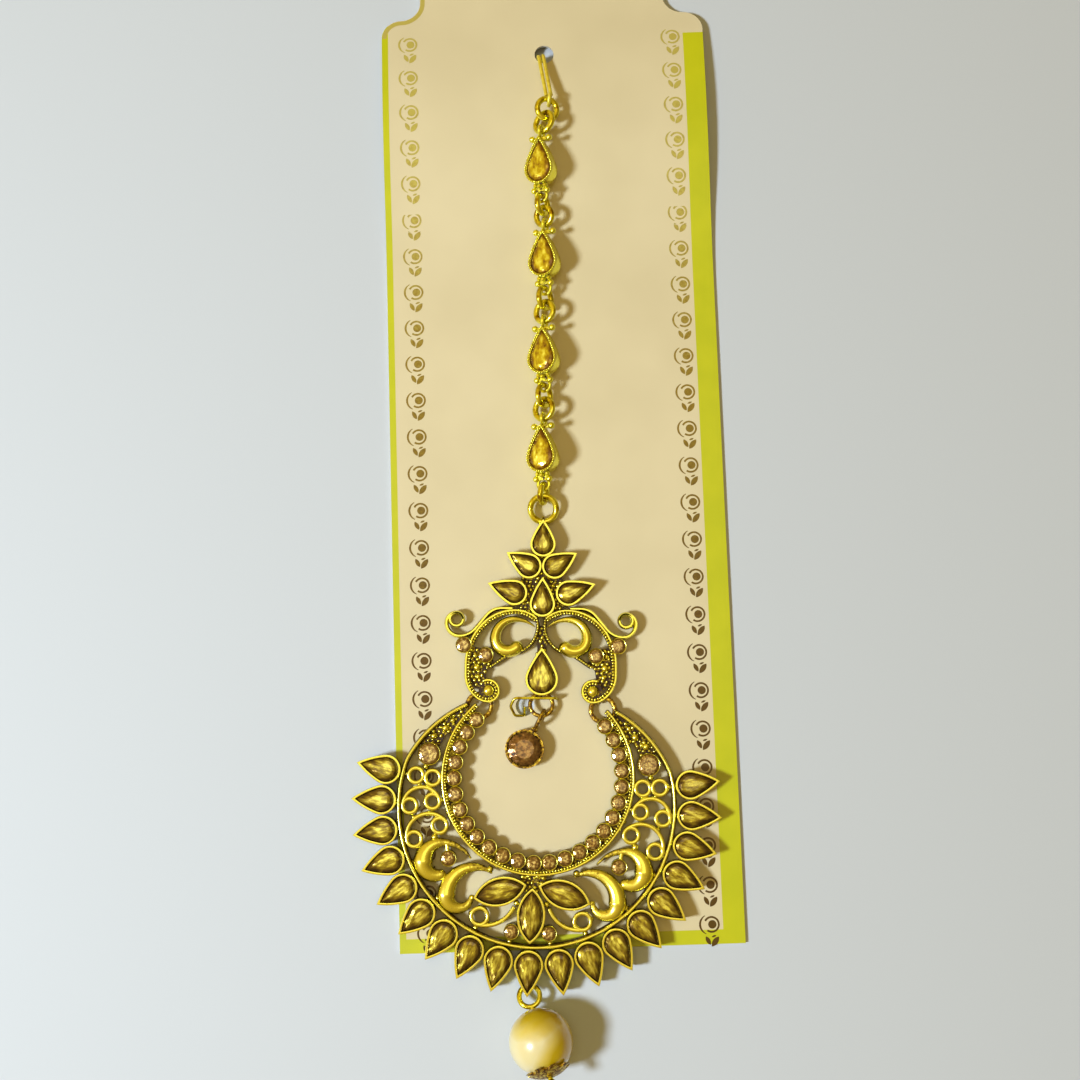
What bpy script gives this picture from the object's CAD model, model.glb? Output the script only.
# %% [markdown]
# # A maang tikka on its display card
# A maang tikka is a jewel worn on the parting of the hair. A hook holds it in the hair,
# a short chain runs down the parting, and the pendant lies on the forehead. This one is
# a cheap and cheerful antique-gold casting set with foil-backed glass, still on the card
# that it is sold on. The solid model gives every size. This lesson dresses it: it loads
# the solids as a frame that doesn't move, then remakes the castings with rounded wires
# and beaded edges, and gives every surface its own finish.

# %% Load the frame
import math
import bpy
import bmesh
import numpy as np
from mathutils import Matrix, Vector


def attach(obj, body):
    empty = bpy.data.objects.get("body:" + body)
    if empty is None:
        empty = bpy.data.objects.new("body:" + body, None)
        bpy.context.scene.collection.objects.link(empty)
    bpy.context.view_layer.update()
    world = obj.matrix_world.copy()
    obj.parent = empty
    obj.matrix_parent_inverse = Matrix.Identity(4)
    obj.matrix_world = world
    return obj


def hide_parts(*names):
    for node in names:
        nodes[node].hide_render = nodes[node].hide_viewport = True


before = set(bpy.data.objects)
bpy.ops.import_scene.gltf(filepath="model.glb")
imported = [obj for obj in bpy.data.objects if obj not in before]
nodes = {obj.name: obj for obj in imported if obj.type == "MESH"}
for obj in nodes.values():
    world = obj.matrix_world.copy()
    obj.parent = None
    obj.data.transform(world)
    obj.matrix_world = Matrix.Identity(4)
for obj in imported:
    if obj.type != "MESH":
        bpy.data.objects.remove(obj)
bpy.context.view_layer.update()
MM = 0.001
print("solid nodes:", len(nodes))

# %% [markdown]
# ## The view
# Such a piece is best seen from above, nearly straight down, with the camera turned by a
# couple of degrees. A camera is placed by a matrix: its columns are its right, its up and
# the way it looks away from.

# %% Camera
RIGHT = (0.99949, -0.03183, -0.00379)
UP = (0.03206, 0.99216, 0.12080)
BACK = (-0.00009, -0.12085, 0.99267)
EYE_AT = (-3.10, -45.98, 225.12)        # millimetres

view_data = bpy.data.cameras.new("view")
view_data.lens = 46.67
view_data.sensor_width = 36.0
view_data.clip_start = 0.01
view = bpy.data.objects.new("view", view_data)
bpy.context.scene.collection.objects.link(view)
columns = [Vector(RIGHT), Vector(UP), Vector(BACK)]
turn = Matrix(columns).transposed().to_4x4()
view.matrix_world = Matrix.Translation(Vector(EYE_AT) * MM) @ turn
bpy.context.scene.camera = view
print("camera height, mm:", EYE_AT[2])

# %% [markdown]
# ## Colours
# Paint charts give colours as they look on a screen, but a shader works with amounts of
# light. One small function turns the first into the second, so that the numbers in this
# lesson stay the ones that a colour picker shows.


# %% Screen colours
def tone(red, green, blue):
    """A screen colour, 0 to 255, as the linear colour that a shader wants."""
    linear = []
    for value in (red, green, blue):
        value /= 255
        linear.append(value / 12.92 if value <= 0.04045 else ((value + 0.055) / 1.055) ** 2.4)
    return (*linear, 1.0)


print("a middle grey on the screen is this much light:", round(tone(128, 128, 128)[0], 3))

# %% [markdown]
# ## Nodes
# The room, every finish and every tree of geometry is a network of nodes. Made by hand, one
# node takes several lines: make it, set its numbers, link what feeds it. A few helpers
# take that up, so that the cells below read like the network they make.


# %% Helpers for nodes
def fill(tree, made, inputs):
    """Set a node's inputs by name or place: a socket is linked, the rest are values."""
    for name, value in inputs.items():
        if isinstance(value, bpy.types.NodeSocket):
            tree.links.new(value, made.inputs[name])
        else:
            made.inputs[name].default_value = value


def node(tree, kind, inputs=None, **settings):
    """One new node with its settings and inputs."""
    made = tree.nodes.new(kind)
    for name, value in settings.items():
        setattr(made, name, value)
    fill(tree, made, inputs or {})
    return made


def sums(tree, operation, *values):
    """One Math node; each value is a number or a socket."""
    made = node(tree, "ShaderNodeMath", dict(enumerate(values)), operation=operation)
    return made.outputs[0]


def vectors(tree, operation, *values):
    """One Vector Math node; each value is a triple or a socket."""
    made = node(tree, "ShaderNodeVectorMath", dict(enumerate(values)), operation=operation)
    return made.outputs["Value" if operation in ("DOT_PRODUCT", "LENGTH") else "Vector"]


def ranged(tree, value, start, end, low=0.0, high=1.0):
    """Turn start..end into low..high, level beyond both ends."""
    return node(tree, "ShaderNodeMapRange", {
        "Value": value, "From Min": start, "From Max": end,
        "To Min": low, "To Max": high}).outputs["Result"]


def blended(tree, amount, low, high):
    """A colour between two others; each is a colour or a socket."""
    return node(tree, "ShaderNodeMix", {"Factor": amount, 6: low, 7: high},
                data_type="RGBA").outputs[2]


def place_of(tree):
    """The point on the object, in metres from its own middle."""
    return node(tree, "ShaderNodeTexCoord").outputs["Object"]


def plain_finish(name, colour, roughness):
    """A new node material with its main numbers set, ready for its details."""
    made = bpy.data.materials.new(name)
    made.use_nodes = True
    shader = made.node_tree.nodes["Principled BSDF"]
    fill(made.node_tree, shader, {"Base Color": colour, "Roughness": roughness})
    return made, made.node_tree, shader


# %% [markdown]
# ## Light
# One lamp on the left, a little over halfway up, gives the clear shadows that show how far
# the jewel stands off its card. A wide soft panel overhead is what the flat tops of the
# metal mirror, so they look bright; walls and hollows mirror the dark warm room instead.

# %% Lamps
LAMPS_AIM = Vector((-0.003, -0.03, 0.0))


def lamp(name, turn, rise, distance, size, watts, colour):
    """Square lamp that looks at the middle of the jewel; angles in degrees."""
    data = bpy.data.lights.new(name, "AREA")
    data.shape, data.size, data.energy, data.color = "SQUARE", size, watts, colour
    made = bpy.data.objects.new(name, data)
    a, b = math.radians(turn), math.radians(rise)
    away = Vector((math.cos(a) * math.cos(b), math.sin(a) * math.cos(b), math.sin(b)))
    made.location = LAMPS_AIM + away * distance
    made.rotation_euler = away.to_track_quat("Z", "Y").to_euler()
    bpy.context.scene.collection.objects.link(made)


lamp("key_lamp", turn=196.0, rise=49.0, distance=0.70, size=0.10, watts=5.5,
     colour=(0.74, 0.86, 1.0))
lamp("soft_panel", turn=92.0, rise=82.0, distance=0.80, size=0.42, watts=0.64,
     colour=(1.0, 0.98, 0.66))

# %% [markdown]
# ### The room
# The room is brighter in mirrors towards a window on the left than it is as a light, or
# the gold looks dull, and it fades to dark on the right, which shows how round a form is.
# The camera sees a pale wall instead.

# %% Room
WINDOW = (-0.66, 0.26, 0.70)            # which way the bright side of the room lies
WINDOW_FADE, WINDOW_GAIN = (-0.20, 0.95), 0.68
ROOM_LEVEL, ROOM_COLOUR, PALE_WALL = 0.27, (1.0, 0.68, 0.15, 1.0), tone(216, 219, 220)

world = bpy.data.worlds.new("room")
world.use_nodes = True
tree = world.node_tree
rays = node(tree, "ShaderNodeLightPath").outputs
direction = node(tree, "ShaderNodeTexCoord").outputs["Generated"]
toward_window = vectors(tree, "DOT_PRODUCT", direction, WINDOW)
bright_side = ranged(tree, toward_window, *WINDOW_FADE, 0.0, WINDOW_GAIN)
level = sums(tree, "MULTIPLY_ADD", rays["Is Glossy Ray"], bright_side, ROOM_LEVEL)
fill(tree, tree.nodes["Background"], {
    "Strength": sums(tree, "MAXIMUM", level, rays["Is Camera Ray"]),
    "Color": blended(tree, rays["Is Camera Ray"], ROOM_COLOUR, PALE_WALL)})
bpy.context.scene.world = world
bpy.context.scene.view_settings.view_transform = "Standard"
print("room level as a light and at most in mirrors:", ROOM_LEVEL, ROOM_LEVEL + WINDOW_GAIN)

# %% [markdown]
# ### The floor
# A sheet of pale paper carries the card and its shadow. A real backdrop curves up and has
# no horizon; here the far paper fades into the wall's colour, for the camera alone.

# %% Floor
FLOOR_REACH, FLOOR_Z = 1.6, -0.0001     # metres
HAZE_START, HAZE_END = 0.20, 0.48       # metres from the middle of the card

floor_mesh = bpy.data.meshes.new("floor")
corners = [(-1, -1), (1, -1), (1, 1), (-1, 1)]
floor_mesh.from_pydata([(x * FLOOR_REACH, y * FLOOR_REACH, FLOOR_Z) for x, y in corners],
                       [], [(0, 1, 2, 3)])
floor = bpy.data.objects.new("floor", floor_mesh)
bpy.context.scene.collection.objects.link(floor)
paper, tree, shader = plain_finish("floor_paper", tone(208, 211, 214), 0.7)
haze = ranged(tree, vectors(tree, "LENGTH", place_of(tree)), HAZE_START, HAZE_END)
far_off = sums(tree, "MULTIPLY", haze,
               node(tree, "ShaderNodeLightPath").outputs["Is Camera Ray"])
glow = node(tree, "ShaderNodeEmission", {"Color": PALE_WALL})
mix = node(tree, "ShaderNodeMixShader", {"Fac": far_off, 1: shader.outputs[0],
                                         2: glow.outputs[0]})
fill(tree, tree.nodes["Material Output"], {"Surface": mix.outputs[0]})
floor_mesh.materials.append(paper)
print("floor, metres across:", 2 * FLOOR_REACH)

# %% [markdown]
# ## Finishes
# Every finish is a small network of nodes. Four helpers keep them short: noise of a real
# size in millimetres, a number that the points of a mesh carry, a ramp from a number to a
# colour, and bump from a height.


# %% Helpers for finishes
def noise_of(tree, size, detail=3.0):
    """Noise whose blotches are about this many millimetres across."""
    return node(tree, "ShaderNodeTexNoise", {
        "Vector": place_of(tree), "Scale": 1 / (size * MM), "Detail": detail}).outputs["Fac"]


def carried(tree, name):
    """What the points of the mesh carry under a name."""
    return node(tree, "ShaderNodeAttribute", attribute_name=name).outputs


def ramp(tree, amount, stops):
    """A colour ramp through the given (position, colour) stops."""
    made = node(tree, "ShaderNodeValToRGB", {"Fac": amount})
    band = made.color_ramp
    while len(band.elements) < len(stops):
        band.elements.new(0.5)
    for element, (position, colour) in zip(band.elements, stops):
        element.position = position
        element.color = colour
    return made.outputs["Color"]


def roughened(tree, shader, height, distance, strength):
    """Bump from a height, its depth in millimetres."""
    bump = node(tree, "ShaderNodeBump", {
        "Height": height, "Distance": distance * MM, "Strength": strength})
    fill(tree, shader, {"Normal": bump.outputs["Normal"]})


# %% [markdown]
# ### Antique gold
# The castings are plated yellow gold, dipped in a brown stain, and wiped: the stain stays
# in the hollows and the high places shine. Each casting carries a number on its points,
# called relief, which is 0 in the hollows and 1 on top of a wire. The finish goes from
# stain to gold by that number, with noise so that the wiping looks uneven. Stain is also
# rougher than gold, less of a metal, and lumpier.


# %% Antique gold
def antique_gold(name, bright, middle, stain, wiped=0.5, level=None):
    """Stained gold; level is one relief for solids that carry no such number."""
    made, tree, shader = plain_finish(name, bright, 0.3)
    if level is None:
        level = carried(tree, "relief")["Fac"]
    uneven = sums(tree, "MULTIPLY_ADD", noise_of(tree, 0.40, 5.0), 2.0, -1.04)
    height = sums(tree, "ADD", uneven, level)
    metal = sums(tree, "MULTIPLY_ADD", height, 1.1, 0.35)
    metal.node.use_clamp = True
    fill(tree, shader, {
        "Base Color": ramp(tree, height, [(0.12, stain), (wiped - 0.08, middle),
                                          (wiped + 0.22, bright)]),
        "Roughness": ranged(tree, height, 0.15, 0.75, 0.50, 0.22),
        "Metallic": metal})
    unwiped = sums(tree, "MULTIPLY_ADD", level, -0.85, 1.0)
    lumps = sums(tree, "MULTIPLY", noise_of(tree, 0.20, 4.0), unwiped)
    roughened(tree, shader, lumps, 0.05, 0.9)
    return made


cast_gold = antique_gold("antique_gold", tone(230, 224, 108), tone(174, 152, 44),
                         tone(46, 22, 6))
aged_gold = antique_gold("aged_gold", tone(226, 206, 92), tone(150, 112, 34), tone(52, 30, 12),
                         level=0.45)
print("stained finishes:", cast_gold.name, aged_gold.name)

# %% [markdown]
# ### Bright gold
# The chain and the rings were plated but not stained much, so they are bright yellow with a
# slight green cast. Metal shows its colour only in what it mirrors, so the finish is nearly
# a mirror with faint dents and a little brown where fingers don't reach. The hook is
# doubled wire, scratched by use, so it is paler and less of a mirror.

# %% Bright gold for the chain and the hook
chain_gold, tree, shader = plain_finish("chain_gold", tone(232, 208, 62), 0.2)
fill(tree, shader, {
    "Metallic": 1.0,
    "Base Color": ramp(tree, noise_of(tree, 1.3), [
        (0.30, tone(138, 104, 20)), (0.46, tone(212, 202, 54)), (0.75, tone(236, 234, 112))]),
    "Roughness": sums(tree, "MULTIPLY_ADD", noise_of(tree, 0.4), 0.22, 0.08)})
roughened(tree, shader, noise_of(tree, 0.9, 2.0), 0.05, 0.6)

hook_gold, tree, shader = plain_finish("hook_gold", tone(228, 220, 84), 0.45)
fill(tree, shader, {
    "Metallic": 0.75,
    "Base Color": ramp(tree, noise_of(tree, 0.8), [
        (0.30, tone(220, 204, 62)), (0.60, tone(240, 230, 96))])})
print("bright finishes:", chain_gold.name, hook_gold.name)

# %% [markdown]
# ### Foil-backed glass
# Cheap stones are moulded glass with a mirror foil behind them. Light goes in, bounces off
# the foil and comes out in streaks along the stone, bright in the middle and brown near the
# setting. Real refraction would be slow and grainy at this size, so the streaks are made
# directly. Each stone's points carry two things: relief, 0 at its edge and 1 in the
# middle, and cut, the place on the stone in millimetres with a number of its own. A streak
# also tilts the surface a little, so that it mirrors another part of the room.


# %% Foil-backed glass
def foil_glass(name, streak, stops, tilt=0.35, shine=0.8, gloss=1.0):
    """Streaks are (across, along) in millimetres; stops run from the edge to the middle."""
    made, tree, shader = plain_finish(name, stops[1][1], 0.20)
    stretched = vectors(tree, "MULTIPLY", carried(tree, "cut")["Vector"],
                        (1 / streak[0], 1 / streak[1], 1.0))
    streaks = node(tree, "ShaderNodeTexNoise", {
        "Vector": stretched, "Scale": 1.0, "Detail": 3.0}).outputs
    tilted = vectors(tree, "MULTIPLY_ADD", streaks["Color"], (2 * tilt, 2 * tilt, 0.0),
                     (-tilt, -tilt, 0.0))
    facing = vectors(tree, "ADD", node(tree, "ShaderNodeNewGeometry").outputs["Normal"], tilted)
    waves = sums(tree, "MULTIPLY_ADD", streaks["Fac"], 1.9, -0.95)
    depth = sums(tree, "MULTIPLY_ADD", carried(tree, "relief")["Fac"], 0.62, waves)
    fill(tree, shader, {
        "Normal": vectors(tree, "NORMALIZE", facing), "Base Color": ramp(tree, depth, stops),
        "Metallic": shine, "Coat Weight": gloss, "Coat Roughness": 0.04, "Coat IOR": 1.52})
    return made


champagne = foil_glass("champagne_stone", (0.55, 1.7), [
    (0.02, tone(56, 34, 4)), (0.28, tone(106, 84, 18)), (0.54, tone(162, 148, 42)),
    (0.88, tone(240, 236, 120))])
link_glass = foil_glass("link_stone", (0.70, 1.2), [
    (0.02, tone(104, 62, 2)), (0.28, tone(160, 122, 6)), (0.54, tone(206, 180, 14)),
    (0.88, tone(248, 238, 84))], shine=0.5, gloss=0.45)
rose = foil_glass("rose_stone", (0.34, 0.34), [
    (0.02, tone(56, 33, 10)), (0.30, tone(110, 78, 36)), (0.56, tone(150, 121, 68)),
    (0.88, tone(238, 224, 164))], tilt=0.55)
brown = foil_glass("brown_stone", (0.60, 0.45), [
    (0.02, tone(60, 34, 14)), (0.24, tone(104, 68, 34)), (0.50, tone(142, 102, 58)),
    (0.85, tone(206, 174, 120))], tilt=0.5)
print("stone finishes:", champagne.name, link_glass.name, rose.name, brown.name)

# %% [markdown]
# ### Pearl
# The drop is an imitation pearl: a bead in a pearly lacquer. It is nearly matt cream under
# a glossy coat, and golden towards the cap and the foot, where it mirrors the metal.

# %% Pearl lacquer
PEARL_R, PEARL_AT = 4.9, (-5.37, -95.85)
pearl_coat, tree, shader = plain_finish("pearl", tone(236, 222, 190), 0.28)


def lean_of(tree, direction):
    """How far the place on the pearl leans to a direction: -1 to 1."""
    middle = Vector((*PEARL_AT, PEARL_R)) * MM
    along = vectors(tree, "DOT_PRODUCT", place_of(tree), direction)
    return sums(tree, "MULTIPLY_ADD", along, 1 / (PEARL_R * MM),
                -middle.dot(Vector(direction)) / (PEARL_R * MM))


capward = sums(tree, "ADD", lean_of(tree, (-0.12, 0.97, 0.2)), -0.14)
footward = sums(tree, "ADD", lean_of(tree, (0.84, -0.48, 0.10)), 0.20)
uneven = sums(tree, "MULTIPLY_ADD", noise_of(tree, 3.0, 2.0), 0.3, -0.15)
warm = sums(tree, "ADD", sums(tree, "MAXIMUM", capward, footward), uneven)
fill(tree, shader, {
    "Base Color": ramp(tree, warm, [
        (0.28, tone(232, 214, 156)), (0.52, tone(226, 198, 92)), (0.74, tone(208, 174, 16))]),
    "Coat Weight": 1.0, "Coat Roughness": 0.13, "Subsurface Weight": 0.15,
    "Subsurface Radius": (0.8, 0.6, 0.35), "Subsurface Scale": 0.0015})
roughened(tree, shader, noise_of(tree, 0.8), 0.01, 0.5)
print("pearl across, mm:", 2 * PEARL_R)

# %% [markdown]
# ### Card
# The card is cream stock with a satin varnish and yellow-green stripes printed along its
# edges. The stripes are found from the place on the card, in metres: a stripe is where the
# distance from the middle line is more than a limit. The cut edge is bare grey board,
# found by its normal, which doesn't look up.

# %% Printed card
CARD_HALF, CARD_THICK = 27.0, 0.5
CARD_TOP_END, CARD_FOOT, SHOULDER_Y = 83.0, -83.0, 67.0
HEADER_HALF = 20.5
STRIPE_LEFT, STRIPE_RIGHT, STRIPE_FOOT, STRIPE_TOP = 1.05, 3.40, 2.20, 66.4
STRIPE_BLUR = 0.03                      # to each side of a stripe's edge

card_paper, tree, shader = plain_finish("card", tone(232, 220, 186), 0.5)
across, along, _ = node(tree, "ShaderNodeSeparateXYZ", {0: place_of(tree)}).outputs


def past(tree, value, limit, below=False):
    """1 past a limit in millimetres and 0 before it, or the other way round."""
    low, high = (1.0, 0.0) if below else (0.0, 1.0)
    return ranged(tree, value, (limit - STRIPE_BLUR) * MM, (limit + STRIPE_BLUR) * MM, low, high)


left_stripe = past(tree, across, -CARD_HALF + STRIPE_LEFT, below=True)
right_stripe = sums(tree, "MULTIPLY", past(tree, across, CARD_HALF - STRIPE_RIGHT),
                    past(tree, along, STRIPE_TOP, below=True))
foot_stripe = past(tree, along, CARD_FOOT + STRIPE_FOOT, below=True)
stripes = sums(tree, "MAXIMUM", sums(tree, "MAXIMUM", left_stripe, right_stripe), foot_stripe)
cream = ramp(tree, noise_of(tree, 14.0, 2.0), [(0.35, tone(222, 205, 162)),
                                               (0.65, tone(228, 211, 168))])
lime = ramp(tree, noise_of(tree, 6.0, 2.0), [(0.35, tone(194, 194, 3)),
                                             (0.65, tone(202, 200, 8))])
printed = blended(tree, stripes, cream, lime)
normal = node(tree, "ShaderNodeNewGeometry").outputs["Normal"]
upward = node(tree, "ShaderNodeSeparateXYZ", {0: normal}).outputs[2]
fill(tree, shader, {
    "Base Color": blended(tree, ranged(tree, upward, 0.55, 0.75), tone(206, 200, 186), printed),
    "Roughness": sums(tree, "MULTIPLY_ADD", noise_of(tree, 0.35, 2.0), 0.12, 0.40),
    "Coat Weight": 0.15, "Coat Roughness": 0.25})
roughened(tree, shader, noise_of(tree, 0.5, 4.0), 0.012, 0.5)
print("stripes, mm: left", STRIPE_LEFT, "right", STRIPE_RIGHT, "foot", STRIPE_FOOT)

# %% [markdown]
# ## Kept solids
# A ring is already a ring and a pearl is already round. Such solids stay as they are, and
# only their finish changes.


# %% Dress the kept solids
def dress(finish, *names):
    """Give a finish to solids of the model; how many there were."""
    for name in names:
        mesh = nodes[name].data
        mesh.materials.clear()
        mesh.materials.append(finish)
    return len(names)


dressed = dress(hook_gold, "hair_hook")
dressed += dress(chain_gold, "hook_rings", "chain_rings_1", "chain_rings_2", "chain_rings_3",
                 "link_ring", "pendant_ring", "card_tie", "pearl_pin")
dressed += dress(aged_gold, "side_ring_left", "side_ring_right", "drop_ring", "drop_setting",
                 "pearl_cap")
dressed += dress(pearl_coat, "pearl")
dressed += dress(card_paper, "card")
print("kept solids dressed:", dressed)

# %% [markdown]
# ## Drawing with arcs
# The castings are line drawings in metal. Every wire is a walk along arcs: a radius and a
# turn, then the next. These helpers walk such a path and return points close enough
# together to look round.


# %% Walks along arcs
def polar(cx, cy, radius, degrees):
    """The point at a distance and an angle from a centre."""
    a = math.radians(degrees)
    return (cx + radius * math.cos(a), cy + radius * math.sin(a))


def placed(at, x, y):
    """A casting's own point on the card: at holds x, y and turn."""
    a = math.radians(at[2])
    return (at[0] + x * math.cos(a) - y * math.sin(a), at[1] + x * math.sin(a) + y * math.cos(a))


def walk(x, y, heading, rows, step=0.22):
    """Points along arcs of (radius, turn, ...), or straights of (length, 0, ...).

    Each point comes with its heading, the row that it is on and its share of that row.
    """
    stops = [(x, y, heading, 0, 0.0)]
    for index, (radius, bend, *_) in enumerate(rows):
        length = radius if bend == 0 else abs(math.radians(bend)) * radius
        count = max(2, round(length / step))
        for i in range(count):
            a = math.radians(heading)
            if bend == 0:
                x, y = x + radius / count * math.cos(a), y + radius / count * math.sin(a)
            else:
                side = math.copysign(1, bend)
                cx, cy = x - side * radius * math.sin(a), y + side * radius * math.cos(a)
                heading += bend / count
                a = math.radians(heading)
                x, y = cx + side * radius * math.sin(a), cy - side * radius * math.cos(a)
            stops.append((x, y, heading, index, (i + 1) / count))
    return stops


def beside(stops, shift):
    """A line that keeps a distance to the left of a walk."""
    return [polar(x, y, shift, heading + 90) for x, y, heading, _, _ in stops]


def arc_points(cx, cy, radius, start, end, step=0.3):
    """Points along one arc, between two angles."""
    count = max(6, round(abs(math.radians(end - start)) * radius / step))
    return [polar(cx, cy, radius, start + (end - start) * i / count) for i in range(count + 1)]


def circle_points(cx, cy, radius):
    """A closed circle, its first point not repeated."""
    return arc_points(cx, cy, radius, 0, 360)[:-1]


def flipped(line):
    """The mirror image of a line of points."""
    return [(-p[0],) + tuple(p[1:]) for p in line]


print("a quarter turn of 1 mm:", len(arc_points(0, 0, 1.0, 0, 90)), "points")

# %% [markdown]
# ## Geometry Nodes for wires and beads
# Hundreds of beads and dozens of wires follow lines, which is what Geometry Nodes do well.
# The lines go in as a mesh of points and edges that carries a number, half_width. Each tree
# has named inputs for its sizes and ends by making its copies real and giving them their
# finish.


# %% Start a tree and end it
def new_tree(name, *inputs):
    """Empty geometry tree with named inputs; also the sockets that they come in by."""
    made = bpy.data.node_groups.new(name, "GeometryNodeTree")
    made.interface.new_socket("Geometry", in_out="INPUT", socket_type="NodeSocketGeometry")
    for label, kind in (*inputs, ("Finish", "Material")):
        made.interface.new_socket(label, in_out="INPUT", socket_type="NodeSocket" + kind)
    made.interface.new_socket("Geometry", in_out="OUTPUT", socket_type="NodeSocketGeometry")
    return made, made.nodes.new("NodeGroupInput").outputs


def close_tree(tree, start, shapes):
    """Make copies real, give them the finish and send them out."""
    real = node(tree, "GeometryNodeRealizeInstances", {"Geometry": shapes}).outputs[0]
    finish = node(tree, "GeometryNodeSetMaterial", {"Geometry": real, "Material": start["Finish"]})
    node(tree, "NodeGroupOutput", {"Geometry": finish.outputs["Geometry"]})


def curve_of(tree, start):
    """The lines that come in, as curves."""
    return node(tree, "GeometryNodeMeshToCurve", {"Mesh": start["Geometry"]}).outputs["Curve"]


def copies(tree, points, piece, **turned):
    """A copy of a piece at each point."""
    return node(tree, "GeometryNodeInstanceOnPoints", {
        "Points": points, "Instance": piece, **turned}).outputs["Instances"]


# %% [markdown]
# A tree is run by hanging it on an object as a modifier. The result is read back as plain
# points and faces, and the object that held it is thrown away.


# %% Hold lines and run a tree
def line_holder(name, lines):
    """Loose edges along lines of (x, y, z) or (x, y, z, half_width); closed if marked so."""
    points, edges, widths = [], [], []
    for line, closed in lines:
        first = len(points)
        points += [p[:3] for p in line]
        widths += [p[3] if len(p) > 3 else 1.0 for p in line]
        edges += [(first + i, first + i + 1) for i in range(len(line) - 1)]
        if closed:
            edges.append((len(points) - 1, first))
    mesh = bpy.data.meshes.new(name)
    mesh.from_pydata(points, edges, [])
    mesh.attributes.new("half_width", "FLOAT", "POINT").data.foreach_set("value", widths)
    made = bpy.data.objects.new(name, mesh)
    bpy.context.scene.collection.objects.link(made)
    return made


def baked(holder, made_tree, values):
    """Points and faces of what a tree makes on a holder; the holder is thrown away."""
    grow = holder.modifiers.new("grow", "NODES")
    grow.node_group = made_tree
    for item in made_tree.interface.items_tree:
        if item.item_type == "SOCKET" and item.in_out == "INPUT" and item.name in values:
            grow[item.identifier] = values[item.name]
    ready = holder.evaluated_get(bpy.context.evaluated_depsgraph_get())
    mesh = bpy.data.meshes.new_from_object(ready)
    holder.modifiers.remove(grow)
    points = np.empty(len(mesh.vertices) * 3)
    mesh.vertices.foreach_get("co", points)
    faces = [tuple(p.vertices) for p in mesh.polygons]
    bpy.data.objects.remove(holder)
    bpy.data.meshes.remove(mesh)
    return points.reshape(-1, 3), faces


# %% [markdown]
# ### Wires
# A wire is an oval swept along its line. The line's half width scales the oval, and one
# number squashes it upright or flat.

# %% Wire tree
wire_tree, start = new_tree("drawn_wire", ("Depth", "Float"), ("Sides", "Int"))
width = node(wire_tree, "GeometryNodeInputNamedAttribute", {"Name": "half_width"},
             data_type="FLOAT").outputs["Attribute"]
swell = node(wire_tree, "GeometryNodeSetCurveRadius", {
    "Curve": curve_of(wire_tree, start), "Radius": width}).outputs["Curve"]
upright = node(wire_tree, "GeometryNodeSetCurveNormal", {"Curve": swell},
               mode="Z_UP").outputs["Curve"]
circle = node(wire_tree, "GeometryNodeCurvePrimitiveCircle", {
    "Resolution": start["Sides"], "Radius": 1.0}).outputs["Curve"]
ratio = node(wire_tree, "ShaderNodeCombineXYZ", {"X": 1.0, "Y": start["Depth"], "Z": 1.0})
oval = node(wire_tree, "GeometryNodeTransform", {
    "Geometry": circle, "Scale": ratio.outputs["Vector"]}).outputs["Geometry"]
radius = node(wire_tree, "GeometryNodeInputRadius").outputs[0]
sweep = node(wire_tree, "GeometryNodeCurveToMesh", {
    "Curve": upright, "Profile Curve": oval, "Fill Caps": True, "Scale": radius})
close_tree(wire_tree, start, sweep.outputs["Mesh"])
print("wire tree:", len(wire_tree.nodes), "nodes")

# %% [markdown]
# ### Beads and granules
# A row of beads, called milgrain, is a ball every so often along a line. Granules are
# flattened balls of different sizes, one on each point that comes in.

# %% Bead trees
bead_tree, start = new_tree("bead_row", ("Pitch", "Float"), ("Bead", "Float"))
along = node(bead_tree, "GeometryNodeResampleCurve", {
    "Curve": curve_of(bead_tree, start), "Length": start["Pitch"]}, mode="LENGTH")
bead = node(bead_tree, "GeometryNodeMeshUVSphere", {
    "Segments": 6, "Rings": 5, "Radius": start["Bead"]})
close_tree(bead_tree, start, copies(bead_tree, along.outputs["Curve"], bead.outputs["Mesh"]))

grain_tree, start = new_tree("scattered_granules", ("Squash", "Float"))
spots = node(grain_tree, "GeometryNodeMeshToPoints", {"Mesh": start["Geometry"]})
size = node(grain_tree, "GeometryNodeInputNamedAttribute", {"Name": "half_width"},
            data_type="FLOAT").outputs["Attribute"]
flat = node(grain_tree, "ShaderNodeCombineXYZ", {
    "X": size, "Y": size, "Z": sums(grain_tree, "MULTIPLY", size, start["Squash"])})
ball = node(grain_tree, "GeometryNodeMeshUVSphere", {"Segments": 12, "Rings": 8, "Radius": 1.0})
close_tree(grain_tree, start, copies(grain_tree, spots.outputs["Points"], ball.outputs["Mesh"],
                                     Scale=flat.outputs["Vector"]))
print("bead and granule trees:", len(bead_tree.nodes), "and", len(grain_tree.nodes), "nodes")

# %% [markdown]
# ### Fans
# Petals and the inner row of stones stand in a fan: the same piece again and again at an
# even angle round a centre. A tree does that from a count, a pitch and a radius. The fan
# is even about straight down, and each piece points away from the centre.

# %% Fan tree
fan_tree, start = new_tree("fan", ("Piece", "Object"), ("Count", "Int"), ("Pitch", "Float"),
                           ("Radius", "Float"), ("Centre Y", "Float"))


def fan_sum(operation, *values):
    """One Math node of the fan tree."""
    return sums(fan_tree, operation, *values)


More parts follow.
